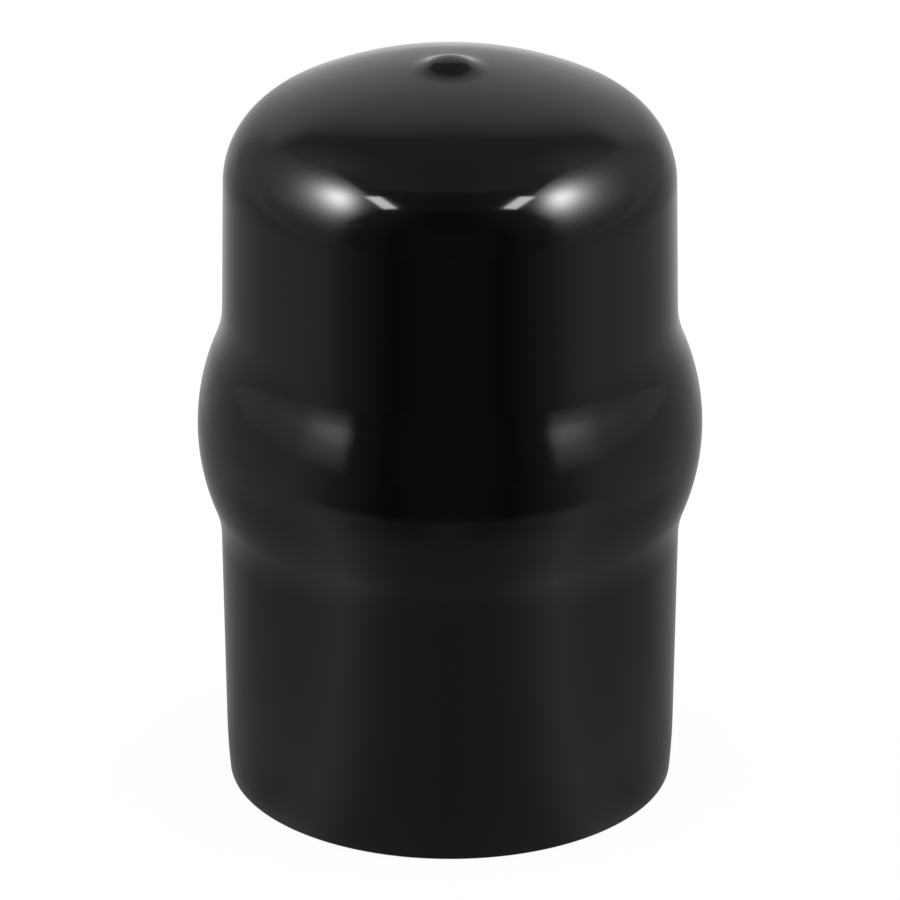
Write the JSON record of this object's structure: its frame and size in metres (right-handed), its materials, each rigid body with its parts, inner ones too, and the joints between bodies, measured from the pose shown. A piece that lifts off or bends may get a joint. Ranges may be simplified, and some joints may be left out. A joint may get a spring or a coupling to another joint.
{
  "type": "tow ball cover",
  "caption": "Glossy black dip-moulded vinyl cap with a round ball pocket, a drafted open skirt and a domed crown with a small drip nub.",
  "frame": {"origin": "centre of the mouth, in the plane of its cut rim, on which the cover stands", "axes": "+Z along the cover's axis, from the mouth up to the crown; X and Y are any two square directions across it"},
  "size_m": [0.056, 0.056, 0.0851],
  "materials": {
    "vinyl": "gloss"
  },
  "bodies": {
    "root": {"cover": "vinyl"}
  },
  "joints": []
}
